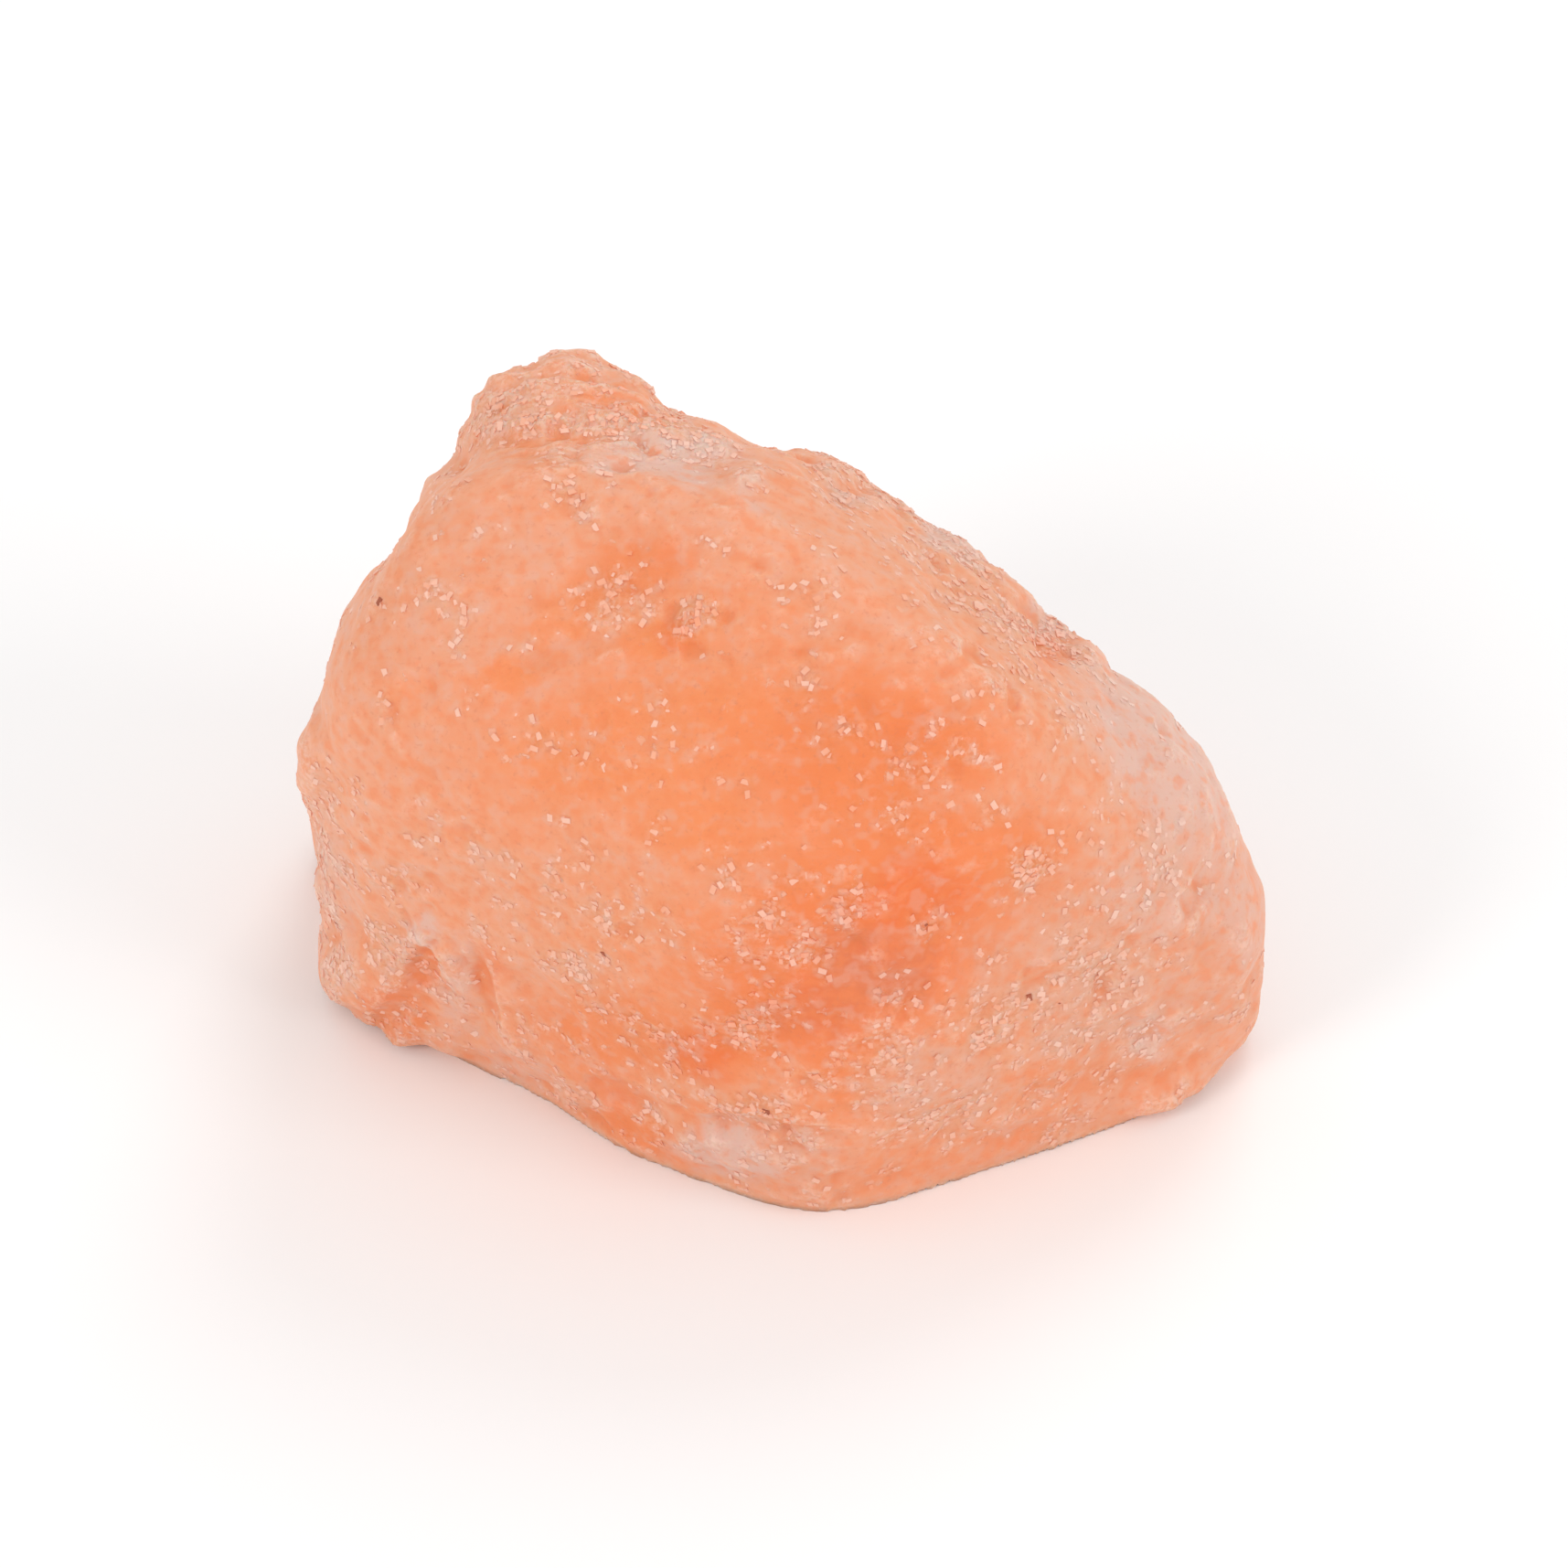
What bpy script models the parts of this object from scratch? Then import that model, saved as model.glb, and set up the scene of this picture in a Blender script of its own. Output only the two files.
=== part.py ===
"""A rough chunk of pink halite, or rock salt, lying on the flat fracture that it broke off along.

The chunk grew and broke as one piece, so it is one solid. A quad sphere is drawn in to the planes
of its fracture faces, worn round at the edges, chipped at the corners and swollen by its lumps.

+X runs along the chunk, +Z is up, and the broad worn face looks towards -Y and upwards. The origin
is on the resting face, under the middle of the chunk's box.
"""

import math
import random
from collections import namedtuple

import bmesh
import bpy
import numpy as np
from mathutils import Vector, noise

# Driving dimensions. Lengths are in millimetres until the mesh is made.
MM = 0.001
MIDDLE_HEIGHT = 17.0  # from the resting face up to the point that every reach is measured from
BROAD_FACE_LOOKS_UP = math.radians(40)  # above the horizon

GRID = 27  # squares along each side of the cube that becomes the quad sphere
FRONT_WEAR = 3.0  # how softly the flats of the broad face and the front run into each other
EDGE_WEAR = 1.3  # the same between all the other faces
FOOT_WEAR = 2.5  # the same where the sides run in under the chunk
FOOT_DEPTH = 5.0  # how far below the resting face the underside lies before it is cut off level
FOOT_REACH = 0.7  # corners this near to the level of the resting face are moved onto it
RIM_PASSES = 3  # how often the rim of the resting face is evened out
RUB_PASSES = 2  # how often the whole surface is rubbed smooth, to take the bite off the small edges

# A fracture face is a plane. Its reach is how far it lies from the chunk's middle.
# These are placed round the broad face. Turn goes anticlockwise round it, from +X. Lean is 0 for
# a plane seen edge-on, and 90 for one parallel to the broad face.
RimFace = namedtuple("RimFace", "turn lean reach")
FRONT_FACES = {
    "upper left": RimFace(125, 74, 12.2),
    "lower": RimFace(262, 66, 14.0),
    "right": RimFace(350, 62, 14.4),
    "left": RimFace(192, 58, 15.2),
    "lower left": RimFace(233, 42, 15.4),
    "lower right": RimFace(316, 40, 17.0),
}
RIM_FACES = {
    "crest, top": RimFace(86, 30, 15.6),
    "upper right bevel": RimFace(52, 22, 12.4),
    "pale right end": RimFace(14, 30, 16.0),
    "lower left": RimFace(220, 10, 19.2),
    "left end": RimFace(187, 4, 21.5),
    "left end, upper": RimFace(163, 0, 22.9),
    "left shoulder": RimFace(147, 6, 21.5),
    "crest, left": RimFace(117, 0, 21.8),
    "crest, back": RimFace(93, -2, 15.8),
    "upper right edge": RimFace(66, 0, 15.7),
    "right shoulder": RimFace(51, -6, 14.6),
    "right end": RimFace(16, -6, 21.0),
    "right end, lower": RimFace(338, 4, 26.8),
    "right foot corner": RimFace(320, 0, 24.5),
}

# These are placed by the compass. Bearing goes anticlockwise from +X, seen from above, and rise is
# how far above the horizon the face looks.
WallFace = namedtuple("WallFace", "bearing rise reach")
FRONT_WALLS = {
    "front, right": WallFace(297, -12, 15.0),
    "front, left": WallFace(237, -12, 12.9),
}
WALL_FACES = {
    "back": WallFace(95, 14, 18.4),
    "back, left": WallFace(140, 24, 20.6),
    "back, right": WallFace(40, 8, 17.5),
}

# A lump, or a hollow where its height is negative, placed across, up and out of the broad face.
Lump = namedtuple("Lump", "across up out radius height")
LUMPS = {
    "crest knob": Lump(-8.2, 16.8, -2.2, 3.7, 6.0),
    "left corner of the knob": Lump(-12.8, 15.6, -2.0, 3.4, 2.4),
    "ridge behind the knob": Lump(-9.6, 14.0, -7.0, 5.0, 3.6),
    "foot of the ridge": Lump(-12.5, 9.5, -11.5, 6.0, 1.6),
    "left lobe": Lump(-18.0, -9.5, 1.0, 3.6, 1.0),
    "notch under the lobe": Lump(-13.4, -13.6, 0.0, 2.8, -1.8),
    "notch in the foot": Lump(-12.4, -14.2, -9.0, 3.0, -1.8),
    "notch in the left end": Lump(-22.0, -2.2, 0.0, 1.9, -1.0),
    "hollow in the lobe": Lump(-17.0, -8.4, 5.0, 2.0, -0.9),
    "heart of the broad face": Lump(2.0, -2.0, 10.0, 9.0, 0.6),
    "shoulder bump": Lump(-19.8, 8.0, -1.0, 2.4, 0.7),
    "scoop in the back": Lump(6.0, 4.0, -17.0, 6.5, -1.6),
    "ledge on the back": Lump(-9.0, -4.0, -18.0, 5.0, 1.2),
    "scoop in the right end": Lump(19.0, -4.0, -6.0, 4.5, -1.0),
}

# Swells of the whole surface: the size of one, and how far it moves the surface.
SWELLS = ((11.0, 0.6), (5.0, 0.35))
SWELL_SEED = Vector((3.1, 7.7, 1.9))

CHIP_SEED = 11
CHIP_COUNT = 46
CHIP_DEPTHS = (0.25, 0.9)
CHIP_FREE_FRONT = 0.3  # no chip that looks this far or further out of the broad face, as a cosine

SALT_COLOUR = (0.88, 0.34, 0.17, 1.0)
SALT_ROUGHNESS = 0.55


def broad_face_axes():
    """Unit vectors across, up and out of the broad face."""
    rise = BROAD_FACE_LOOKS_UP
    across = np.array((1.0, 0.0, 0.0))
    up = np.array((0.0, math.sin(rise), math.cos(rise)))
    out = np.array((0.0, -math.cos(rise), math.sin(rise)))
    return across, up, out


def rim_normal(face):
    across, up, out = broad_face_axes()
    turn, lean = math.radians(face.turn), math.radians(face.lean)
    edge_on = math.cos(turn) * across + math.sin(turn) * up
    return math.cos(lean) * edge_on + math.sin(lean) * out


def wall_normal(face):
    bearing, rise = math.radians(face.bearing), math.radians(face.rise)
    level = np.array((math.cos(bearing), math.sin(bearing), 0.0))
    return math.cos(rise) * level + np.array((0.0, 0.0, math.sin(rise)))


def quad_sphere():
    """A unit sphere of even squares, as a bmesh."""
    mesh = bmesh.new()
    bmesh.ops.create_cube(mesh, size=2.0)
    bmesh.ops.subdivide_edges(mesh, edges=mesh.edges[:], cuts=GRID - 1, use_grid_fill=True)
    for vertex in mesh.verts:
        # The tangent spaces the rows evenly once the cube is blown up to a sphere.
        vertex.co = Vector(math.tan(c * math.pi / 4) for c in vertex.co).normalized()
    return mesh


def least(distances, wear):
    """A soft minimum along the last axis, so that faces meet in a worn edge and not a sharp one."""
    nearest = distances.min(axis=-1)
    spread = np.exp((nearest[:, None] - distances) / wear).sum(axis=-1)
    return nearest - wear * np.log(spread)


def distances_to(normals, reaches, directions):
    """How far the middle sees along each direction before it meets each plane."""
    facing = np.maximum(directions @ np.array(normals).T, 1e-3)
    return np.array(reaches) / facing


def face_distances(rims, walls, directions):
    normals = [rim_normal(f) for f in rims] + [wall_normal(f) for f in walls]
    return distances_to(normals, [f.reach for f in (*rims, *walls)], directions)


def surface_distance(directions):
    """How far the middle sees along each direction before it leaves the chunk."""
    front = face_distances(FRONT_FACES.values(), FRONT_WALLS.values(), directions)
    sides = face_distances(RIM_FACES.values(), WALL_FACES.values(), directions)
    above = least(np.column_stack([least(front, FRONT_WEAR), sides]), EDGE_WEAR)
    under = distances_to([(0.0, 0.0, -1.0)], [MIDDLE_HEIGHT + FOOT_DEPTH], directions)
    return least(np.column_stack([above, under]), FOOT_WEAR)


def with_lumps(points, directions):
    across, up, out = broad_face_axes()
    for lump in LUMPS.values():
        centre = lump.across * across + lump.up * up + lump.out * out
        apart = np.linalg.norm(points - centre, axis=1)
        swell = lump.height * np.exp(-((apart / lump.radius) ** 2))
        points = points + swell[:, None] * directions
    return points


def with_swells(points, directions):
    for size, depth in SWELLS:
        push = [noise.noise(Vector(p) / size + SWELL_SEED) for p in points]
        points = points + depth * np.array(push)[:, None] * directions
    return points


def with_chips(points):
    """Small flats struck off what stands out furthest in many random directions, but not in front."""
    dice = random.Random(CHIP_SEED)
    _, _, out = broad_face_axes()
    for _ in range(CHIP_COUNT):
        normal = np.array(Vector([dice.gauss(0, 1) for _ in range(3)]).normalized())
        depth = dice.uniform(*CHIP_DEPTHS)
        if normal @ out > CHIP_FREE_FRONT:
            continue
        height = points @ normal
        over = np.maximum(height - (height.max() - depth), 0.0)
        points = points - over[:, None] * normal
    return points


def shaped_points(directions):
    """The chunk's surface about its middle, where each direction meets it."""
    points = directions * surface_distance(directions)[:, None]
    points = with_lumps(points, directions)
    points = with_swells(points, directions)
    return with_chips(points)


def even_out_rim(mesh):
    """Draws each corner of the open rim towards its two neighbours along it."""
    for _ in range(RIM_PASSES):
        places = {}
        for vertex in mesh.verts:
            beside = [e.other_vert(vertex).co for e in vertex.link_edges if e.is_boundary]
            if len(beside) == 2:
                places[vertex] = vertex.co / 2 + (beside[0] + beside[1]) / 4
        for vertex, place in places.items():
            vertex.co = place


def cut_flat(mesh):
    """Cuts the mesh off level at the resting face and closes it with one flat face."""
    cut = bmesh.ops.bisect_plane(
        mesh,
        geom=mesh.verts[:] + mesh.edges[:] + mesh.faces[:],
        dist=1e-4,
        plane_co=(0.0, 0.0, 0.0),
        plane_no=(0.0, 0.0, 1.0),
        clear_inner=True,
    )
    rim = [v for v in cut["geom_cut"] if isinstance(v, bmesh.types.BMVert)]
    bmesh.ops.remove_doubles(mesh, verts=rim, dist=FOOT_REACH / 2)
    even_out_rim(mesh)
    open_edges = [e for e in mesh.edges if e.is_boundary]
    bmesh.ops.holes_fill(mesh, edges=open_edges, sides=0)
    bmesh.ops.recalc_face_normals(mesh, faces=mesh.faces[:])


def centre_under_box(mesh):
    """Puts the origin under the middle of the box, and turns millimetres to metres."""
    corners = np.array([v.co for v in mesh.verts])
    middle = (corners.min(axis=0) + corners.max(axis=0)) / 2
    for vertex in mesh.verts:
        vertex.co = (vertex.co - Vector((middle[0], middle[1], 0.0))) * MM


def chunk_mesh():
    mesh = quad_sphere()
    points = shaped_points(np.array([v.co for v in mesh.verts]))
    points[:, 2] += MIDDLE_HEIGHT
    for vertex, point in zip(mesh.verts, points):
        vertex.co = point
    for _ in range(RUB_PASSES):
        bmesh.ops.smooth_vert(
            mesh, verts=mesh.verts, factor=0.5, use_axis_x=True, use_axis_y=True, use_axis_z=True
        )
    for vertex in mesh.verts:
        if abs(vertex.co.z) < FOOT_REACH:
            vertex.co.z = 0.0
    cut_flat(mesh)
    centre_under_box(mesh)
    return mesh


def salt_material():
    material = bpy.data.materials.new("pink_halite")
    material.use_nodes = True
    shader = material.node_tree.nodes["Principled BSDF"]
    shader.inputs["Base Color"].default_value = SALT_COLOUR
    shader.inputs["Roughness"].default_value = SALT_ROUGHNESS
    shader.inputs["Metallic"].default_value = 0.0
    return material


def build():
    for obj in list(bpy.data.objects):
        bpy.data.objects.remove(obj)
    mesh = chunk_mesh()
    data = bpy.data.meshes.new("halite_chunk")
    mesh.to_mesh(data)
    mesh.free()
    data.shade_smooth()
    for face in data.polygons:
        if face.normal.z < -0.999:
            face.use_smooth = False
    data.materials.append(salt_material())
    chunk = bpy.data.objects.new("halite_chunk", data)
    bpy.context.scene.collection.objects.link(chunk)


build()
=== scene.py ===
"""The looks of the halite chunk: a fine, worn and frosted surface of milky pink to orange salt,
with painted highlights, painted shade and a painted glow along its rims.

Places on the chunk are given in millimetres across, up and out of its broad face, from its middle.
"""

import math
import random
from collections import namedtuple

import bmesh
import bpy
import numpy as np
from mathutils import Euler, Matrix, Vector, kdtree, noise


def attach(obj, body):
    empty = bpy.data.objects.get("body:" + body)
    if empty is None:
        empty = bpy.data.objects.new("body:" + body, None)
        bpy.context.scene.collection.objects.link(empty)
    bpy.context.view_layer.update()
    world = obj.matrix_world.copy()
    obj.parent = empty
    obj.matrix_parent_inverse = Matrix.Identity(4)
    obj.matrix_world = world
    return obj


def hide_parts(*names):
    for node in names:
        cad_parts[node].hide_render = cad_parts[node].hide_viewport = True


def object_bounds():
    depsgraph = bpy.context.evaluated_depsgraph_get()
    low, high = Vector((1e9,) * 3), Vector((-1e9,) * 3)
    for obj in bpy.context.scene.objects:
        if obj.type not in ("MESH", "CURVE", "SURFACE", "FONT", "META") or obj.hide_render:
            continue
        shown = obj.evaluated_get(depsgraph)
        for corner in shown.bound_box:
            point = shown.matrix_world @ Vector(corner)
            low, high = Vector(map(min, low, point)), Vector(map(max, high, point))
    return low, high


MM = 0.001
MIDDLE = (0.27, -5.49, 17.0)  # the chunk's middle, in the frame, in millimetres
FACE_LOOKS_UP = math.radians(40)  # how far above the horizon the broad face looks
FACE_TURN = FACE_LOOKS_UP - math.radians(90)  # turns the frame's axes onto the broad face's

# How far out each of these fades away, and is in full force.
FRONT_FADES = (-15.0, -9.0)  # the front's own patches
DENT_FADES = (-19.0, -13.0)  # its dents and rises
RIDGE_FADES = (-5.0, -2.0)
SIDES_FADE = (4.0, -2.0)  # the rough sides, which fade away on the front
PATCH_EDGE = (1.0, 0.35)  # the same within a patch, as a share of its size

# The fine mesh.
VOXEL = 0.27
SMOOTH_PASSES = 6
SPARE = 0.5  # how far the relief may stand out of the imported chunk's box
FOOT = (0.1, 1.2)  # how far above the ground the relief begins, and is in full force
FROST_FOOT = (0.3, 1.0)  # the same for the grains of the frost
UNDERSIDE = (0.4, -0.6)  # its highest point, and how level it is

# A patch of the surface. Turn is in degrees, anticlockwise, and strength is 1 for full colour.
Patch = namedtuple("Patch", "across up half_length half_width turn strength")
WARM = (
    Patch(-4.0, 2.2, 17.0, 8.2, 6, 1.0),
    Patch(3.0, -8.0, 16.0, 9.0, 8, 1.0),
)
AMBER = (
    Patch(-5.5, 1.8, 9.5, 4.0, 8, 0.95),
    Patch(-3.8, -2.2, 4.8, 2.2, 0, 0.95),
    Patch(-12.9, 5.0, 2.8, 1.2, 15, 0.9),
    Patch(-17.0, 4.0, 1.7, 1.1, 0, 0.5),
    Patch(-9.8, 7.6, 3.4, 2.0, 10, 0.8),
    Patch(-4.8, 6.7, 3.2, 2.6, 10, 0.95),
    Patch(-8.0, -5.5, 6.0, 3.0, -10, 0.3),
)
ORANGE = (
    Patch(4.0, 1.2, 8.4, 5.4, 10, 1.0),
    Patch(5.0, -4.0, 10.0, 4.6, 5, 1.0),
    Patch(6.5, -7.0, 5.6, 3.4, 0, 0.9),
    Patch(-7.2, -11.5, 6.4, 3.2, 0, 0.9),
    Patch(-1.0, -10.5, 5.6, 3.4, 15, 1.0),
    Patch(2.5, -13.0, 1.9, 3.4, 0, 0.9),
    Patch(-6.5, -16.2, 3.8, 1.3, -25, 1.0),
    Patch(14.0, -13.4, 5.2, 1.5, 5, 0.8),
    Patch(11.0, -16.0, 4.2, 1.3, 18, 0.6),
    Patch(-6.4, 9.7, 4.2, 2.0, 25, 0.85),
    Patch(1.0, -7.5, 8.0, 4.0, 10, 0.7),
    Patch(10.0, -4.0, 5.0, 4.5, 0, 1.0),
    Patch(4.0, -13.8, 7.0, 3.0, 0, 0.5),
    Patch(1.0, -14.8, 6.0, 2.4, 0, 0.5),
    Patch(5.5, -17.6, 6.0, 1.6, 12, 0.5),
    Patch(-0.8, -15.7, 5.0, 0.7, -6, 0.9),
    Patch(-7.6, 17.2, 3.2, 1.4, -15, 0.7),
    Patch(-11.5, 14.8, 1.4, 1.4, 0, 0.4),
    Patch(-18.0, -10.2, 1.5, 2.4, 15, 0.9),
)
DEEP = (
    Patch(5.5, -5.2, 4.8, 2.4, 5, 1.0),
    Patch(3.0, -8.5, 9.5, 5.5, 8, 0.55),
    Patch(0.3, -9.8, 2.8, 2.4, 20, 0.9),
    Patch(-3.8, -12.0, 2.1, 2.3, 0, 1.0),
    Patch(5.6, 2.4, 3.2, 1.8, 30, 0.3),
    Patch(-4.4, 6.8, 1.4, 1.4, 0, 0.6),
    Patch(12.2, 6.4, 1.4, 1.7, 0, 0.7),
    Patch(-18.0, -10.2, 1.3, 2.2, 15, 0.25),
    Patch(-16.8, -8.6, 1.2, 1.4, 0, 0.7),
    Patch(-13.6, -9.0, 0.8, 1.6, 10, 0.5),
    Patch(-8.0, -14.4, 2.4, 0.9, -15, 0.4),
)
DUSKY = (
    Patch(4.3, -8.2, 3.6, 2.8, -20, 0.95),
    Patch(1.6, -9.9, 3.6, 2.0, 15, 0.7),
    # Painted shade on the right end's rim, which faces away from the light.
    Patch(21.5, -7.0, 3.2, 5.5, 0, 0.45),
)
# Painted shade: greyer salt towards the lower right and the bottom, where less light falls.
DULL = (
    Patch(15.8, -8.5, 10.0, 7.0, 4, 1.0),
    Patch(6.5, -13.6, 5.2, 2.8, 0, 0.85),
    Patch(-0.4, -17.3, 5.4, 2.2, -5, 0.9),
    Patch(12.0, -16.0, 8.0, 4.0, 10, 0.3),
)
# Paler salt; at the right end, under the crest and on the left edge these patches are partly a
# painted glow of light coming through the thin rims.
PALE = (
    Patch(17.4, 1.2, 8.2, 3.8, -58, 0.95),
    Patch(20.0, -4.6, 5.0, 2.4, -72, 0.6),
    Patch(17.0, -4.6, 3.4, 3.6, 0, 0.5),
    Patch(-5.0, 14.7, 4.4, 1.3, -4, 0.9),
    Patch(-1.2, 13.0, 1.4, 0.8, -20, 0.5),
    Patch(2.8, 13.4, 2.0, 1.0, -20, 0.4),
    Patch(7.7, 11.3, 2.6, 1.4, -35, 0.7),
    Patch(11.8, 8.6, 3.2, 1.5, -40, 0.6),
    Patch(-21.3, -4.4, 1.5, 4.6, 0, 0.35),
    Patch(-20.6, -9.6, 1.4, 3.0, 25, 0.5),
    Patch(-16.9, -6.9, 1.3, 1.0, 0, 0.8),
    Patch(-15.2, -9.6, 1.3, 3.2, -15, 0.5),
    Patch(-12.6, -13.2, 2.2, 1.6, -20, 0.4),
    Patch(-2.4, -17.0, 4.0, 1.4, -8, 0.95),
    Patch(6.6, -13.6, 3.2, 1.4, 5, 0.15),
    Patch(16.9, -11.7, 1.5, 1.3, 0, 0.6),
)
KNOB = (Patch(-8.5, 17.0, 8.5, 3.8, 0, 1.3),)
CREST = KNOB + (
    Patch(3.0, 14.2, 6.5, 2.0, -14, 1.6),
    Patch(9.6, 9.6, 8.0, 3.0, -38, 1.5),
)
# Where the white frost lies thickest.
FROSTED = CREST + (
    Patch(0.0, -9.0, 18.0, 8.0, 4, 0.55),
    Patch(12.0, -8.0, 10.0, 8.5, 0, 0.5),
    Patch(-19.0, -8.5, 5.0, 6.0, 0, 0.7),
    Patch(-21.4, -4.5, 1.6, 6.5, 0, 1.1),
    Patch(-6.0, 8.5, 6.0, 3.4, 16, 0.4),
    Patch(2.0, -15.0, 16.0, 3.4, 0, 0.7),
    Patch(4.0, 1.0, 12.0, 5.5, 0, 0.3),
)
PATCHES = {
    "warm": WARM,
    "amber": AMBER,
    "orange": ORANGE,
    "deep": DEEP,
    "dusky": DUSKY,
    "dull": DULL,
    "pale": PALE,
}
# Patches of the sides that the broad face doesn't show, drawn as noise: its size and its share.
FAR_PATCHES = {"warm": (7.0, 1.0), "orange": (8.0, 0.65), "deep": (5.0, 0.4), "pale": (6.0, 0.4)}
PATCH_SEED = 20

# Noise. Its size is in millimetres, and so is its height where it shapes or moves something.
Noise = namedtuple("Noise", "size height seed")
PATCH_DRIFT = (Noise(3.5, 0.9, 12), Noise(0.9, 0.5, 13))
ROUGH_PLACES = Noise(9.0, 1.0, 1)
CALM = 0.30  # how rough the calmest places are, as a share
HUMMOCKS = (Noise(4.2, 0.24, 2), Noise(2.0, 0.16, 3))
GRAIN = (Noise(0.95, 0.12, 4), Noise(0.6, 0.05, 5))
DIMPLES = Noise(1.5, -0.25, 7)
LEDGE_WAVES = (Noise(2.4, 0.5, 8), Noise(0.9, 0.2, 9))
SIDES = Noise(1.5, 0.22, 10)
FROST_CLOUDS = (Noise(2.6, 1.0, 11), Noise(1.2, 0.5, 14))

# Dents, or small rises where the height is above 0, in millimetres, placed as the patches are.
Dent = namedtuple("Dent", "across up half_length half_width turn height")
DENTS = (
    Dent(-9.6, 19.8, 2.6, 1.5, -5, 0.48),
    Dent(-13.6, 17.9, 1.6, 1.3, 45, 0.40),
    Dent(-5.2, 17.6, 1.6, 1.3, -35, -0.45),
    Dent(-15.6, 15.0, 1.2, 1.4, 0, -0.35),
    Dent(-19.4, -10.4, 5.0, 2.6, -52, 1.45),
    Dent(-17.0, -12.4, 3.2, 2.0, -22, 0.40),
    Dent(-22.2, 0.8, 3.6, 1.6, 90, 0.70),
    Dent(-21.6, -6.0, 2.6, 1.4, 80, 0.40),
    Dent(-16.6, 13.2, 2.4, 1.0, 58, 0.40),
    Dent(3.0, 14.8, 3.6, 1.3, -14, 0.45),
    Dent(18.8, 0.6, 7.5, 3.0, -60, 0.95),
    Dent(22.0, -8.6, 8.5, 3.0, 92, 0.65),
    Dent(18.6, -14.8, 3.8, 1.8, 22, 0.70),
    Dent(-11.6, 19.2, 0.9, 0.8, 0, -0.15),
    Dent(-0.6, -15.8, 5.0, 0.6, -6, -0.30),
    Dent(-17.9, -10.3, 1.4, 0.9, 75, -0.35),
    Dent(-16.8, -8.6, 1.2, 1.0, 60, -0.45),
    Dent(-16.8, -7.0, 0.9, 0.6, 0, 0.25),
    Dent(-15.3, -8.9, 2.6, 0.8, -70, 0.30),
    Dent(-13.9, -9.3, 2.6, 0.6, -75, -0.40),
    Dent(-20.3, -8.4, 1.6, 0.8, -60, 0.25),
    Dent(-12.4, -12.2, 2.4, 0.8, -45, 0.25),
    Dent(16.5, -11.4, 1.4, 0.9, 0, -0.30),
    Dent(15.2, -10.2, 2.2, 0.5, 25, 0.20),
    Dent(12.4, 6.5, 1.7, 1.1, -35, -0.35),
    Dent(13.9, 5.9, 1.4, 0.5, -30, 0.25),
    Dent(10.4, 9.2, 2.4, 0.8, -40, 0.30),
    Dent(8.2, 10.9, 1.6, 0.7, -35, 0.25),
    Dent(-4.4, 14.6, 3.6, 1.3, -10, -0.20),
    Dent(2.6, 13.4, 1.8, 0.8, -20, -0.25),
    Dent(-1.7, 14.0, 1.2, 1.0, 0, 0.30),
    Dent(-2.4, -16.9, 4.0, 1.0, -8, 0.25),
    Dent(4.6, -14.0, 2.6, 0.6, 12, 0.20),
    Dent(-7.0, -14.5, 3.0, 0.7, -20, -0.25),
    Dent(1.5, 6.5, 5.0, 0.9, 14, -0.15),
    Dent(-9.5, 6.0, 5.0, 0.8, 16, -0.15),
    Dent(9.0, -3.0, 5.5, 1.1, 12, 0.15),
)

# The ridge under the crest's knob: an arch, from one end to the other.
RIDGE_TOP = (-9.9, 16.4)
RIDGE_ENDS = (-15.0, -1.5)
RIDGE_SOFT_END = 1.5
RIDGE_SAG = 0.022  # the arch falls away from its top by this, times the distance squared
RIDGE_HEIGHT, RIDGE_WIDTH = 0.26, 0.36
RIDGE_STEP = 0.12  # how much higher the surface lies above the ridge than below it
LEDGE_STEP = 0.95
LEDGE_HEIGHT = 0.16
CREST_RELIEF = 1.1  # the most that the crest's own relief is strengthened by

# Where the surface is painted pale, as wear and as a painted highlight on what stands out, or lies
# in a hollow, painted deeper orange as shade.
SURROUNDINGS = 16  # passes of smoothing that give a point's surroundings
WORN_AND_HIGHLIT_STANDS = (0.035, 0.11)  # how far above them it begins to be painted pale, as wear and highlight, and wholly is
HOLLOW_SHADE_STANDS = (-0.03, -0.12)  # the same for a hollow, painted deeper orange as shade
WORN_AND_HIGHLIT_LIPS = 0.8
WORN_AND_HIGHLIT_RIDGE_WIDTH = 0.30

# The frost, as shares of the thickest.
FROST_ALL_OVER = 0.22
FROST_ON_RIDGE = 2.2
FROST_RIDGE_WIDTH = 0.5

# The grains of salt in the frost.
CLUSTER_COUNT = 2400
CLUSTER_REACH = 0.9
GRAINS_IN_ONE = (1, 6)
GRAIN_LENGTHS = (0.13, 0.44)
GRAIN_WIDTH = 0.65  # as a share of the length
GRAIN_HEIGHT = 0.42
GRAIN_TILT = 0.12
GRAIN_SINKS = (0.4, 0.8)  # as a share of half the height
CORNER_REACH = (0.7, 1.1)  # how far a corner lies out, as a share of an even block's
WHITENESS = (0.1, 0.5)
IRON_SHARE = 0.002
GRAIN_SEED = 6
DUST_PASSES = 2  # how far the dust round a grain spreads
DUST_IN_ONE = 2
CUBE_CORNERS = [(x, y, z) for x in (-1, 1) for y in (-1, 1) for z in (-1, 1)]
CUBE_SIDES = (
    (0, 1, 3, 2),
    (4, 6, 7, 5),
    (0, 4, 5, 1),
    (2, 3, 7, 6),
    (0, 2, 6, 4),
    (1, 5, 7, 3),
)

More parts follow.
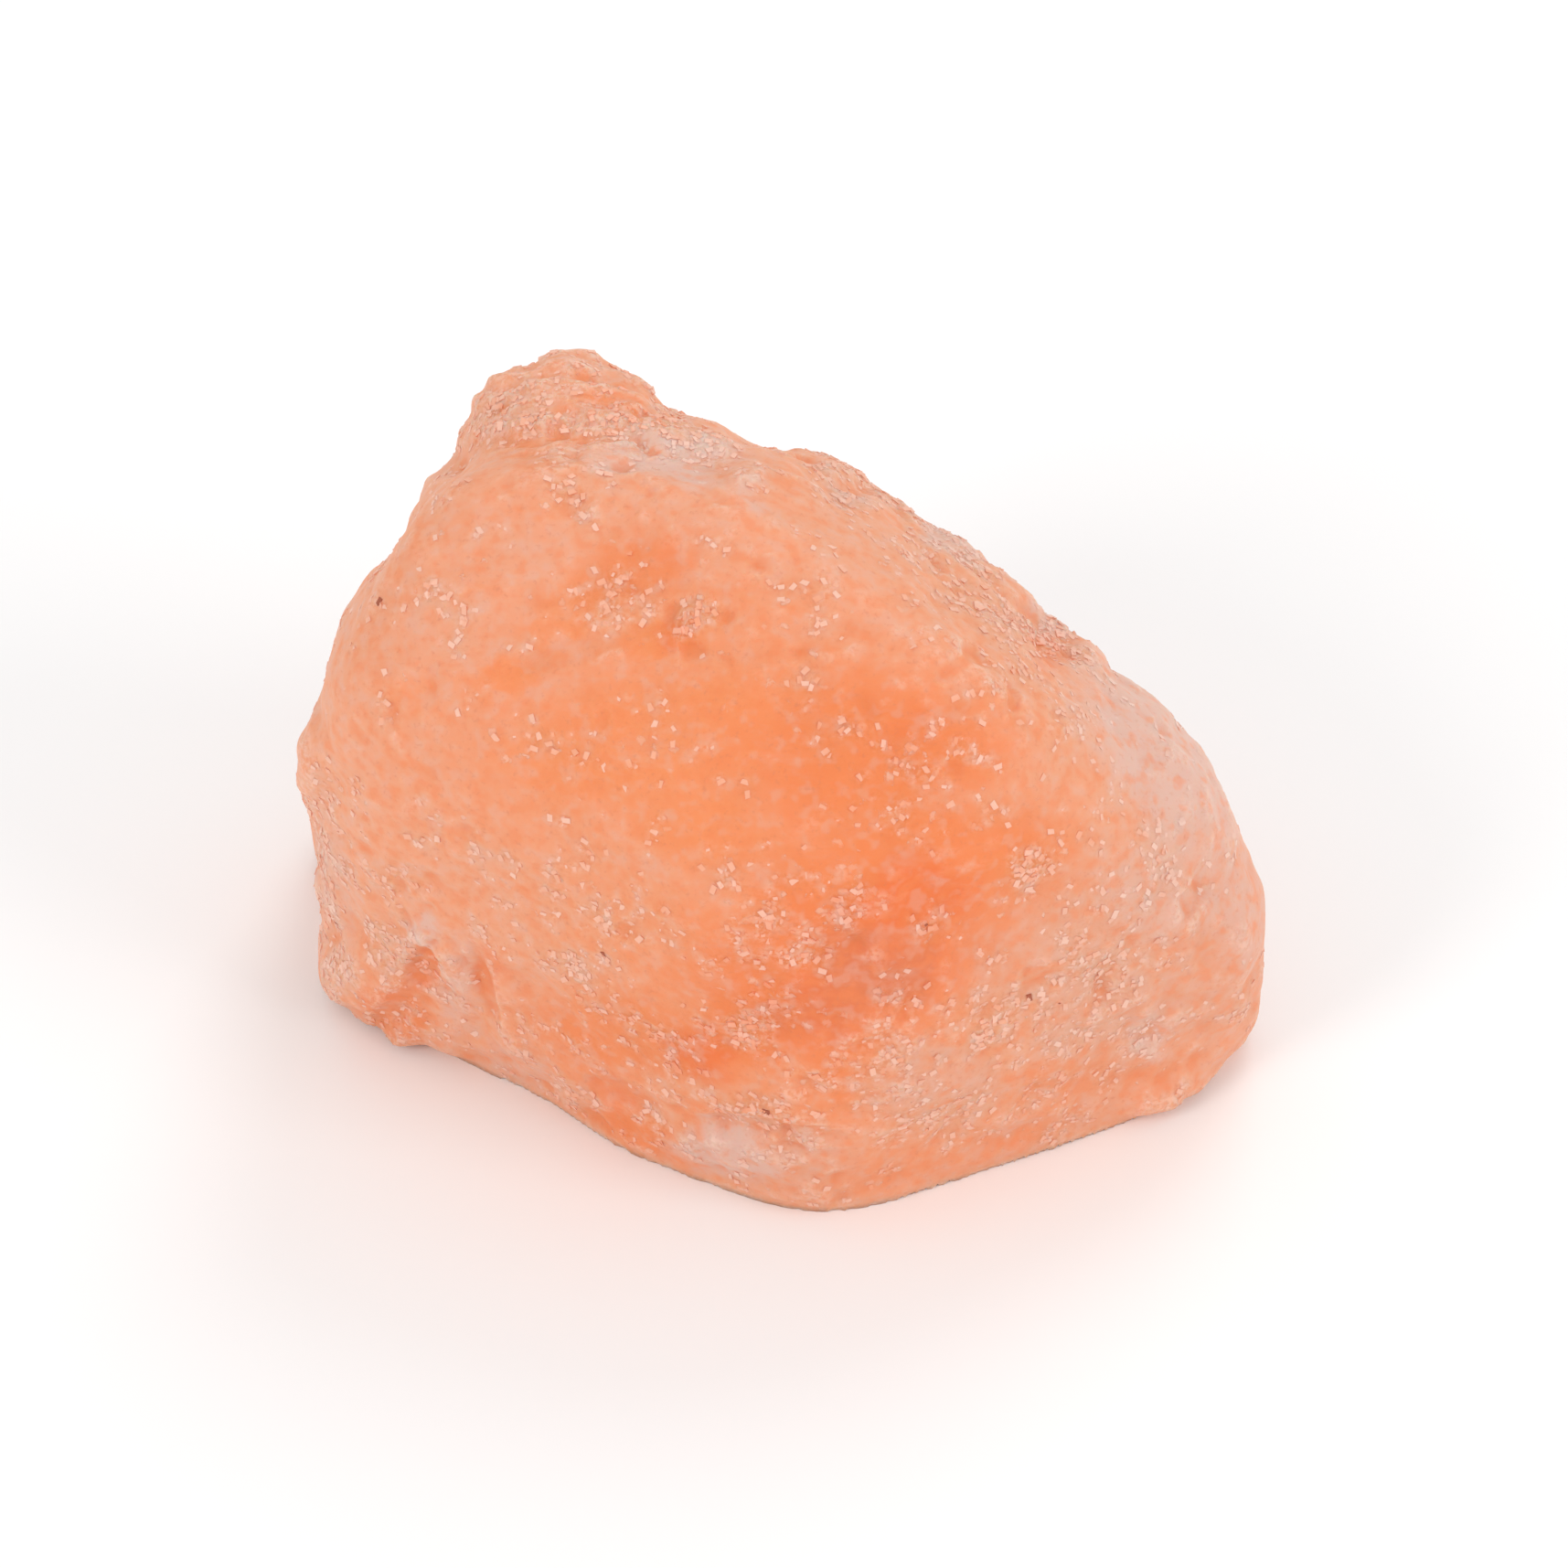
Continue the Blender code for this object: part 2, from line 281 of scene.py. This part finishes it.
# Clouds in the salt's colour. Spread is how far the noise goes to full pale or full orange.
Clouds = namedtuple("Clouds", "spread pale orange")
STREAKS = Clouds(0.25, 0.2, 0.4)
STREAK_SIZE, STREAK_LENGTH = 1.2, 2.2  # in millimetres, and as a share of the size
STREAK_TURN = (0, 0, math.radians(-8))
MOTTLE = Clouds(0.22, 0.25, 0.4)
MOTTLE_SIZE = 0.7
GRIT_SIZE = 0.28

# The painted flecks of frost between the grains.
FLECK_CELL = 0.55
FLECK_STRETCH = 1.4
FLECK_REACH = 0.48  # the largest, as a share of the cell
FLECK_RAGGED = 2.6 * FLECK_REACH  # how far the grit pulls its edge in and out
FLECK_DENSITY = 0.9
FLECK_PLACE = (13.7, 5.1, 9.3)
FLECK_TURN = (0.4, -0.3, math.radians(-8))
FLECK_WHITENESS = 0.42

FRAME_WIDTH = 72  # how much of the studio the camera shows, in millimetres
STUDIO_LIGHT = 1.09  # how much light falls on the broad face
LAMPS = (  # name, place from the chunk's middle, size and power
    ("key", (-0.62, -0.60, 0.55), 0.4, 2.6),
    ("fill", (0.65, -0.40, 0.45), 0.5, 2.0),
    ("back", (0.25, 0.60, 0.70), 0.5, 1.7),
)


def linear(red, green, blue):
    """The surface that a camera in this studio shows in that colour, from 0 to 255."""
    light = ((((c / 255) + 0.055) / 1.055) ** 2.4 for c in (red, green, blue))
    return (*(part / STUDIO_LIGHT for part in light), 1.0)


PEACH = linear(243, 168, 131)
SALTS = {
    "warm": linear(245, 159, 115),
    "amber": linear(247, 151, 97),
    "orange": linear(245, 142, 87),
    "deep": linear(243, 128, 73),
    # dusky and dull serve in places as painted shade, and pale as a painted glow along the thin
    # rims.
    "dusky": linear(231, 128, 84),
    "dull": linear(235, 166, 134),
    "pale": linear(231, 188, 171),
}
FROST = linear(254, 222, 206)
SPECK_SHADE = linear(216, 130, 98)
IRON_SPECK = linear(172, 86, 54)


def on_face(points):
    """Points in the frame, in metres, as millimetres across, up and out of the broad face."""
    rise = FACE_LOOKS_UP
    axes = np.array(
        (
            (1.0, 0.0, 0.0),
            (0.0, math.sin(rise), math.cos(rise)),
            (0.0, -math.cos(rise), math.sin(rise)),
        )
    )
    return (points / MM - np.array(MIDDLE)) @ axes.T


def smooth_step(values, low, high):
    part = np.clip((values - low) / (high - low), 0.0, 1.0)
    return part * part * (3 - 2 * part)


def patch_strength(face, patches, fades=FRONT_FADES):
    """How strongly the strongest patch covers each point of the front, from 0 to 1."""
    strength = np.zeros(len(face))
    for patch in patches:
        turn = math.radians(patch.turn)
        right, above = face[:, 0] - patch.across, face[:, 1] - patch.up
        along = (right * math.cos(turn) + above * math.sin(turn)) / patch.half_length
        beside = (above * math.cos(turn) - right * math.sin(turn)) / patch.half_width
        reach = np.sqrt(along**2 + beside**2)
        strength = np.maximum(strength, patch.strength * smooth_step(reach, *PATCH_EDGE))
    return strength * smooth_step(face[:, 2], *fades)


def noise_shift(seed):
    """Where in the endless noise a seed begins."""
    return Vector((seed * 7.13, seed * 3.71, seed * 5.37))


def plain_noise(points, size, seed):
    """Noise of about that size in millimetres, from -1 to 1."""
    shift = noise_shift(seed)
    return np.array([noise.noise(Vector(p) / size + shift) for p in points])


def noise_at(points, layer):
    return layer.height * plain_noise(points, layer.size, layer.seed)


def drifted(points, layer):
    """The points, pushed about by noise, by up to the layer's height."""
    noise.seed_set(layer.seed)
    shift = noise_shift(layer.seed)
    push = [noise.noise_vector(Vector(p) / layer.size + shift) for p in points]
    return points + layer.height * np.array(push)


def vertex_points(mesh):
    flat = np.empty(len(mesh.vertices) * 3, dtype=np.float64)
    mesh.vertices.foreach_get("co", flat)
    return flat.reshape(-1, 3)


def vertex_normals(mesh):
    flat = np.empty(len(mesh.vertices) * 3, dtype=np.float64)
    mesh.vertices.foreach_get("normal", flat)
    return flat.reshape(-1, 3)


def set_points(mesh, points):
    mesh.vertices.foreach_set("co", points.astype(np.float32).ravel())
    mesh.update()


def smoothed(mesh, points, passes):
    """Draws each point's row half way towards its neighbours' middle, that many times."""
    flat = np.empty(len(mesh.edges) * 2, dtype=np.int32)
    mesh.edges.foreach_get("vertices", flat)
    first, second = flat.reshape(-1, 2).T
    count = np.bincount(flat, minlength=len(points))[:, None]
    for _ in range(passes):
        total = np.zeros_like(points)
        for axis in range(points.shape[1]):
            total[:, axis] += np.bincount(first, points[second, axis], len(points))
            total[:, axis] += np.bincount(second, points[first, axis], len(points))
        points = (points + total / count) / 2
    return points


def fine_copy(node):
    """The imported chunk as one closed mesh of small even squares."""
    welded = bmesh.new()
    welded.from_mesh(node.data)
    bmesh.ops.remove_doubles(welded, verts=welded.verts, dist=1e-6)
    coarse = bpy.data.meshes.new("coarse")
    welded.to_mesh(coarse)
    welded.free()
    carrier = bpy.data.objects.new("carrier", coarse)
    bpy.context.scene.collection.objects.link(carrier)
    remesh = carrier.modifiers.new("voxels", "REMESH")
    remesh.mode = "VOXEL"
    remesh.voxel_size = VOXEL * MM
    graph = bpy.context.evaluated_depsgraph_get()
    fine = bpy.data.meshes.new_from_object(carrier.evaluated_get(graph))
    bpy.data.objects.remove(carrier)
    set_points(fine, smoothed(fine, vertex_points(fine), SMOOTH_PASSES))
    return fine


def dents(face):
    """How far the dents and rises move each point, in millimetres."""
    depth = np.zeros(len(face))
    for dent in DENTS:
        depth += dent.height * patch_strength(face, [Patch(*dent[:5], 1.0)], DENT_FADES)
    return depth


def above_ridge(face):
    """How far each point lies above the ridge under the knob, in millimetres."""
    return face[:, 1] - RIDGE_TOP[1] + RIDGE_SAG * (face[:, 0] - RIDGE_TOP[0]) ** 2


def ridge_strength(face):
    """1 along the middle of the ridge's length on the front, fading out at its ends."""
    start, end = RIDGE_ENDS
    after_start = smooth_step(face[:, 0], start, start + RIDGE_SOFT_END)
    before_end = smooth_step(face[:, 0], end, end - RIDGE_SOFT_END)
    return after_start * before_end * smooth_step(face[:, 2], *RIDGE_FADES)


def ridge_line(face, width):
    """1 on the ridge's line, falling off to both sides over that width."""
    return np.exp(-((above_ridge(face) / width) ** 2))


def ledge_phase(face):
    """Where each point lies between one ledge of the crest and the next, from 0 to 1."""
    broad, fine = LEDGE_WAVES
    waved = above_ridge(face) + noise_at(face, broad) + noise_at(face, fine)
    return np.mod(waved / LEDGE_STEP, 1.0)


def relief(face):
    """How far the surface stands out or in at each point, in millimetres."""
    crest = np.minimum(patch_strength(face, CREST), CREST_RELIEF)
    rough = CALM + (1 - CALM) * smooth_step(noise_at(face, ROUGH_PLACES), -0.3, 0.5)
    rough = np.maximum(rough, crest)
    hummocks = sum(noise_at(face, layer) for layer in HUMMOCKS)
    grain = sum(noise_at(face, layer) for layer in GRAIN)
    dimples = smooth_step(plain_noise(face, DIMPLES.size, DIMPLES.seed), 0.25, 0.6)
    phase = ledge_phase(face)
    ledges = LEDGE_HEIGHT * (smooth_step(phase, 0.0, 0.7) - smooth_step(phase, 0.75, 1.0))
    step = RIDGE_STEP * smooth_step(above_ridge(face), -0.4, 0.2)
    ridge = RIDGE_HEIGHT * ridge_line(face, RIDGE_WIDTH) + step
    sides = noise_at(face, SIDES) * smooth_step(face[:, 2], *SIDES_FADE)
    return (
        hummocks
        + rough * (grain + DIMPLES.height * dimples)
        + crest * ledges
        + ridge_strength(face) * ridge
        + dents(face)
        + sides
    )


def paint(mesh, name, values):
    """Keeps a number for each point of the mesh, for the material to read."""
    layer = mesh.attributes.new(name, "FLOAT", "POINT")
    layer.data.foreach_set("value", values.astype(np.float32))


def far_side(face):
    """1 where the front's own patches have faded away, and 0 on the front."""
    return smooth_step(face[:, 2], FRONT_FADES[1], FRONT_FADES[0])


def paint_colours(mesh, face):
    """Keeps how strongly each kind of patch covers each point, with loose, uneven edges."""
    broad, fine = PATCH_DRIFT
    loose = drifted(drifted(face, broad), fine)
    far = far_side(face)
    for seed, (name, patches) in enumerate(PATCHES.items(), start=PATCH_SEED):
        strength = patch_strength(loose, patches)
        if name in FAR_PATCHES:
            size, share = FAR_PATCHES[name]
            strength += share * far * smooth_step(plain_noise(loose, size, seed), 0.0, 0.4)
        paint(mesh, name, strength)


def frost_strength(face):
    """How thick the frost lies at each point, from 0 to about 2, gathered in loose clouds."""
    thick = np.maximum(patch_strength(face, FROSTED), FROST_ALL_OVER * far_side(face))
    gathered = sum(noise_at(face, layer) for layer in FROST_CLOUDS)
    clouds = (FROST_ALL_OVER + thick) * smooth_step(gathered, -0.4, 0.5)
    ridge = FROST_ON_RIDGE * ridge_strength(face) * ridge_line(face, FROST_RIDGE_WIDTH)
    return np.maximum(clouds, ridge)


def paint_shape(mesh, face):
    """Keeps where the surface is painted pale, as wear and as a painted highlight on what stands
    out, and where it lies in a hollow, which is painted as shade.
    """
    points, normals = vertex_points(mesh), vertex_normals(mesh)
    stands = ((points - smoothed(mesh, points, SURROUNDINGS)) * normals).sum(axis=1) / MM
    phase = ledge_phase(face)
    lip = smooth_step(phase, 0.45, 0.72) * smooth_step(phase, 0.98, 0.8)
    lips = WORN_AND_HIGHLIT_LIPS * patch_strength(face, KNOB) * lip
    line = ridge_strength(face) * ridge_line(face, WORN_AND_HIGHLIT_RIDGE_WIDTH)
    worn_and_highlit = np.maximum(smooth_step(stands, *WORN_AND_HIGHLIT_STANDS), np.maximum(lips, line))
    paint(mesh, "worn_and_highlit", worn_and_highlit)
    paint(mesh, "hollow_shade", smooth_step(stands, *HOLLOW_SHADE_STANDS))


def held_in(points, low, high):
    """The points, with the parts that stand out of the box pressed back to SPARE at most."""
    spare = SPARE * MM
    over = np.maximum(points - high, 0.0)
    under = np.maximum(low - points, 0.0)
    return np.clip(points, low, high) + spare * (np.tanh(over / spare) - np.tanh(under / spare))


def shape_chunk(mesh, box):
    """Gives the fine mesh its small relief, with a flat underside and inside the box."""
    points, normals = vertex_points(mesh), vertex_normals(mesh)
    face = on_face(points)
    free = smooth_step(points[:, 2] / MM, *FOOT)
    moved = points + (relief(face) * free * MM)[:, None] * normals
    highest, level = UNDERSIDE
    under = (points[:, 2] < highest * MM) & (normals[:, 2] < level)
    moved = held_in(moved, *np.array(box))
    moved[:, 2] = np.maximum(moved[:, 2], 0.0)
    moved[under, 2] = 0.0
    set_points(mesh, moved)
    paint_shape(mesh, face)
    paint_colours(mesh, face)
    paint(mesh, "frosted", np.minimum(frost_strength(face), 1.0))


def grain_corners(dice, centre, normal):
    """The corners of one uneven block of salt, lying in the surface at that place."""
    half = dice.uniform(*GRAIN_LENGTHS) / 2 * MM
    lying = normal.to_track_quat("Z", "Y").to_matrix()
    tilt = dice.gauss(0, GRAIN_TILT), dice.gauss(0, GRAIN_TILT)
    turn = Euler((*tilt, dice.uniform(0, math.tau))).to_matrix()
    middle = centre - normal * half * GRAIN_HEIGHT * dice.uniform(*GRAIN_SINKS)
    corners = []
    for x, y, z in CUBE_CORNERS:
        corner = Vector((x, y * GRAIN_WIDTH, z * GRAIN_HEIGHT)) * half * dice.uniform(*CORNER_REACH)
        corners.append(middle + lying @ (turn @ corner))
    return corners


def paint_dust(mesh, grains_here):
    """Keeps how thick the dust lies, from the number of grains that lie at each point."""
    spread = smoothed(mesh, grains_here[:, None], DUST_PASSES)[:, 0]
    paint(mesh, "dusted", np.minimum(DUST_IN_ONE * spread, 1.0))


def frost_grains(chunk):
    """Small blocks of salt in clusters, each partly sunk in the surface, as one mesh.

    The chunk keeps where their dust lies.
    """
    dice = random.Random(GRAIN_SEED)
    points, normals = vertex_points(chunk), vertex_normals(chunk)
    thick = frost_strength(on_face(points)) * smooth_step(points[:, 2] / MM, *FROST_FOOT)
    tree = kdtree.KDTree(len(points))
    for index, point in enumerate(points):
        tree.insert(point, index)
    tree.balance()
    corners, faces, whiteness, iron = [], [], [], []
    grains_here = np.zeros(len(points))
    for middle in dice.choices(range(len(points)), weights=thick, k=CLUSTER_COUNT):
        near = [found[1] for found in tree.find_range(points[middle], CLUSTER_REACH * MM)]
        for _ in range(dice.randint(*GRAINS_IN_ONE)):
            index = dice.choice(near)
            grains_here[index] += 1
            first = len(corners)
            corners += grain_corners(dice, Vector(points[index]), Vector(normals[index]))
            faces += [[first + corner for corner in side] for side in CUBE_SIDES]
            whiteness += [dice.uniform(*WHITENESS)] * len(CUBE_CORNERS)
            iron += [float(dice.random() < IRON_SHARE)] * len(CUBE_CORNERS)
    paint_dust(chunk, grains_here)
    mesh = bpy.data.meshes.new("frost_grains")
    mesh.from_pydata(corners, [], faces)
    paint(mesh, "whiteness", np.array(whiteness))
    paint(mesh, "iron", np.array(iron))
    paint_colours(mesh, on_face(vertex_points(mesh)))
    return mesh


class Nodes:
    """Adds shader nodes to a tree, with sockets or plain numbers as inputs."""

    def __init__(self, tree):
        self.tree = tree

    def add(self, kind, inputs=(), **settings):
        node = self.tree.nodes.new(kind)
        for name, value in settings.items():
            setattr(node, name, value)
        for key, value in dict(inputs).items():
            self.set(node.inputs[key], value)
        return node

    def set(self, socket, value):
        if isinstance(value, bpy.types.NodeSocket):
            self.tree.links.new(value, socket)
        else:
            socket.default_value = value

    def math(self, operation, *values):
        node = self.add("ShaderNodeMath", operation=operation)
        for socket, value in zip(node.inputs, values):
            self.set(socket, value)
        return node.outputs[0]

    def ramp(self, value, low, high, out_low=0.0, out_high=1.0, smooth=True):
        node = self.add(
            "ShaderNodeMapRange",
            {0: value, 1: low, 2: high, 3: out_low, 4: out_high},
            interpolation_type="SMOOTHSTEP" if smooth else "LINEAR",
        )
        return node.outputs[0]

    def mix(self, factor, below, above):
        node = self.add("ShaderNodeMix", data_type="RGBA")
        for key, value in ((0, factor), (6, below), (7, above)):
            self.set(node.inputs[key], value)
        return node.outputs[2]

    def noise(self, vector, size, detail=2.0, roughness=0.5):
        node = self.add(
            "ShaderNodeTexNoise",
            {"Vector": vector, "Scale": 1 / size, "Detail": detail, "Roughness": roughness},
        )
        return node.outputs["Fac"]

    def placed(self, vector, place, turn, size):
        """The vector as seen from a turned and stretched place."""
        node = self.add(
            "ShaderNodeMapping",
            {"Vector": vector, "Location": place, "Rotation": turn, "Scale": size},
            vector_type="TEXTURE",
        )
        return node.outputs[0]


def face_vector(nodes):
    """Object coordinates as millimetres across, up and out of the broad face."""
    coordinates = nodes.add("ShaderNodeTexCoord").outputs["Object"]
    turned = Euler((FACE_TURN, 0, 0)).to_matrix() @ Vector(MIDDLE)
    mapping = nodes.add(
        "ShaderNodeMapping",
        {
            "Vector": coordinates,
            "Location": -turned,
            "Rotation": (FACE_TURN, 0, 0),
            "Scale": (1 / MM,) * 3,
        },
    )
    return mapping.outputs[0]


def flecks(nodes, face, grit, density):
    """Small ragged marks, one at most in each small cell. Density goes from 0 to 1."""
    size = (FLECK_CELL * FLECK_STRETCH, FLECK_CELL, FLECK_CELL)
    cells = nodes.placed(face, FLECK_PLACE, FLECK_TURN, size)
    voronoi = nodes.add("ShaderNodeTexVoronoi", {"Vector": cells, "Scale": 1.0})
    chances = nodes.add("ShaderNodeSeparateColor", {0: voronoi.outputs["Color"]}).outputs
    there = nodes.math("LESS_THAN", chances[0], density)
    reach = nodes.ramp(chances[1], 0.0, 1.0, FLECK_REACH / 2, FLECK_REACH, smooth=False)
    ragged = nodes.math("SUBTRACT", grit, 0.5)
    distance = nodes.math("MULTIPLY_ADD", ragged, FLECK_RAGGED, voronoi.outputs["Distance"])
    shape = nodes.ramp(nodes.math("DIVIDE", distance, reach), 1.0, 0.3)
    bright = nodes.ramp(chances[2], 0.0, 1.0, 0.35, 1.0, smooth=False)
    return nodes.math("MULTIPLY", nodes.math("MULTIPLY", shape, there), bright)


def painted(nodes, name):
    return nodes.add("ShaderNodeAttribute", attribute_name=name).outputs["Fac"]


def clouded(nodes, colour, cloud, clouds):
    """The colour, paler where the noise is high and more orange where it is low."""
    high, low = 0.5 + clouds.spread, 0.5 - clouds.spread
    colour = nodes.mix(nodes.ramp(cloud, 0.5, high, 0.0, clouds.pale), colour, SALTS["pale"])
    return nodes.mix(nodes.ramp(cloud, 0.5, low, 0.0, clouds.orange), colour, SALTS["orange"])


def salt_colour(nodes, face):
    """Milky peach salt with its painted patches, a little clouded and streaked."""
    colour = PEACH
    for name, salt in SALTS.items():
        colour = nodes.mix(painted(nodes, name), colour, salt)
    lying = nodes.placed(face, (0, 0, 0), STREAK_TURN, (STREAK_LENGTH, 1.0, 1.0))
    streaks = nodes.noise(lying, STREAK_SIZE, detail=4.0, roughness=0.6)
    colour = clouded(nodes, colour, streaks, STREAKS)
    mottle = nodes.noise(face, MOTTLE_SIZE, detail=1.0)
    return clouded(nodes, colour, mottle, MOTTLE)


def salt_material():
    material = bpy.data.materials.new("pink_halite_worn_and_highlit")
    material.use_nodes = True
    nodes = Nodes(material.node_tree)
    shader = material.node_tree.nodes["Principled BSDF"]
    face = face_vector(nodes)
    colour = salt_colour(nodes, face)
    grit = nodes.noise(face, GRIT_SIZE, detail=3.0, roughness=0.6)
    density = nodes.math("MULTIPLY", painted(nodes, "frosted"), FLECK_DENSITY)
    frost = flecks(nodes, face, grit, density)
    colour = nodes.mix(nodes.ramp(grit, 0.45, 0.25, 0.0, 0.3), colour, SPECK_SHADE)
    dust = nodes.ramp(grit, 0.4, 0.6, 0.0, 0.35)
    dusted = nodes.math("MULTIPLY", painted(nodes, "dusted"), dust)
    colour = nodes.mix(dusted, colour, FROST)
    # Painted shade: hollows are painted a deeper orange.
    hollow_shade = nodes.math("MULTIPLY", painted(nodes, "hollow_shade"), 0.5)
    colour = nodes.mix(hollow_shade, colour, SALTS["orange"])
    # Painted highlight: what stands out, the ledges' lips and the ridge are painted pale, partly as
    # wear.
    crumbly = nodes.ramp(grit, 0.40, 0.58, 0.3, 1.0)
    worn_and_highlit = nodes.math("MULTIPLY", painted(nodes, "worn_and_highlit"), crumbly)
    frost = nodes.math("MAXIMUM", frost, nodes.math("MULTIPLY", worn_and_highlit, 0.8))
    colour = nodes.mix(nodes.math("MULTIPLY", frost, FLECK_WHITENESS), colour, FROST)
    nodes.set(shader.inputs["Base Color"], colour)

    roughness = nodes.ramp(frost, 0.0, 1.0, 0.50, 0.75, smooth=False)
    nodes.set(shader.inputs["Roughness"], roughness)
    height = nodes.math("MULTIPLY_ADD", grit, 0.5, frost)
    bump = nodes.add("ShaderNodeBump", {"Strength": 0.7, "Distance": 0.00008, "Height": height})
    nodes.set(shader.inputs["Normal"], bump.outputs[0])
    shader.inputs["Metallic"].default_value = 0.0
    shader.inputs["IOR"].default_value = 1.54
    shader.inputs["Specular IOR Level"].default_value = 0.2
    shader.inputs["Subsurface Weight"].default_value = 0.55
    shader.inputs["Subsurface Radius"].default_value = (1.0, 0.5, 0.3)
    shader.inputs["Subsurface Scale"].default_value = 1.4 * MM
    return material


def frost_material():
    material = bpy.data.materials.new("frost_grain")
    material.use_nodes = True
    nodes = Nodes(material.node_tree)
    shader = material.node_tree.nodes["Principled BSDF"]
    face = face_vector(nodes)
    colour = nodes.mix(painted(nodes, "whiteness"), salt_colour(nodes, face), FROST)
    colour = nodes.mix(painted(nodes, "iron"), colour, IRON_SPECK)
    nodes.set(shader.inputs["Base Color"], colour)
    grain = nodes.noise(face, 0.06)
    nodes.set(shader.inputs["Roughness"], nodes.ramp(grain, 0.3, 0.7, 0.35, 0.6))
    bump = nodes.add("ShaderNodeBump", {"Strength": 0.3, "Distance": 0.00001, "Height": grain})
    nodes.set(shader.inputs["Normal"], bump.outputs[0])
    shader.inputs["Metallic"].default_value = 0.0
    shader.inputs["IOR"].default_value = 1.54
    return material


def floor_material():
    material = bpy.data.materials.new("studio_floor")
    material.use_nodes = True
    shader = material.node_tree.nodes["Principled BSDF"]
    shader.inputs["Base Color"].default_value = (0.96, 0.96, 0.96, 1.0)
    shader.inputs["Roughness"].default_value = 0.8
    shader.inputs["Specular IOR Level"].default_value = 0.2
    return material


def new_object(name, mesh, material):
    mesh.materials.clear()
    mesh.materials.append(material)
    piece = bpy.data.objects.new(name, mesh)
    bpy.context.scene.collection.objects.link(piece)
    return piece


def studio():
    """A plain floor, soft white light from all round and the camera on the photograph's side."""
    mesh = bpy.data.meshes.new("floor")
    half = 4.0
    corners = [(-half, -half, 0), (half, -half, 0), (half, half, 0), (-half, half, 0)]
    mesh.from_pydata([Vector(c) for c in corners], [], [(0, 1, 2, 3)])
    floor = new_object("floor", mesh, floor_material())

    world = bpy.data.worlds.new("studio")
    bpy.context.scene.world = world
    world.use_nodes = True
    background = world.node_tree.nodes["Background"]
    background.inputs["Color"].default_value = (1.0, 1.0, 1.0, 1.0)
    background.inputs["Strength"].default_value = 0.72

    middle = Vector(MIDDLE) * MM
    for name, place, size, power in LAMPS:
        place = Vector(place)
        light = bpy.data.lights.new(name, "AREA")
        light.shape = "DISK"
        light.size = size
        light.energy = power
        lamp = bpy.data.objects.new(name, light)
        lamp.location = middle + place
        lamp.rotation_euler = (-place).to_track_quat("-Z", "Y").to_euler()
        bpy.context.scene.collection.objects.link(lamp)

    lens = bpy.data.cameras.new("camera")
    lens.lens = 200
    lens.sensor_width = 36
    lens.clip_start, lens.clip_end = 0.01, 10
    camera = bpy.data.objects.new("camera", lens)
    look = Vector((0.0, math.cos(FACE_LOOKS_UP), -math.sin(FACE_LOOKS_UP)))
    camera.location = middle - look * (FRAME_WIDTH * MM * lens.lens / lens.sensor_width)
    camera.rotation_euler = look.to_track_quat("-Z", "Y").to_euler()
    bpy.context.scene.collection.objects.link(camera)
    bpy.context.scene.camera = camera
    bpy.context.scene.view_settings.view_transform = "Standard"


def dress(node, box):
    """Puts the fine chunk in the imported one's place, and its frost on it."""
    mesh = fine_copy(node)
    shape_chunk(mesh, box)
    mesh.shade_smooth()
    mesh.name = "worn_chunk"
    chunk = new_object("worn_chunk", mesh, salt_material())
    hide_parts("halite_chunk")
    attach(chunk, "root")
    grains = new_object("frost_grains", frost_grains(mesh), frost_material())
    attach(grains, "root")


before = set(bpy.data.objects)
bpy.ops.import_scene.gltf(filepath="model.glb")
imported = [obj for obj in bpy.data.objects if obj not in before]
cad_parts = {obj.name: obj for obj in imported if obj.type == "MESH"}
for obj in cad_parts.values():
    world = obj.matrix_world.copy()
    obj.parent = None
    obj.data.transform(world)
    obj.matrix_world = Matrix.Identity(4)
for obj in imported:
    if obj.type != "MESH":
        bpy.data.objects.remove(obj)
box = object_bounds()
dress(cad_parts["halite_chunk"], box)
studio()
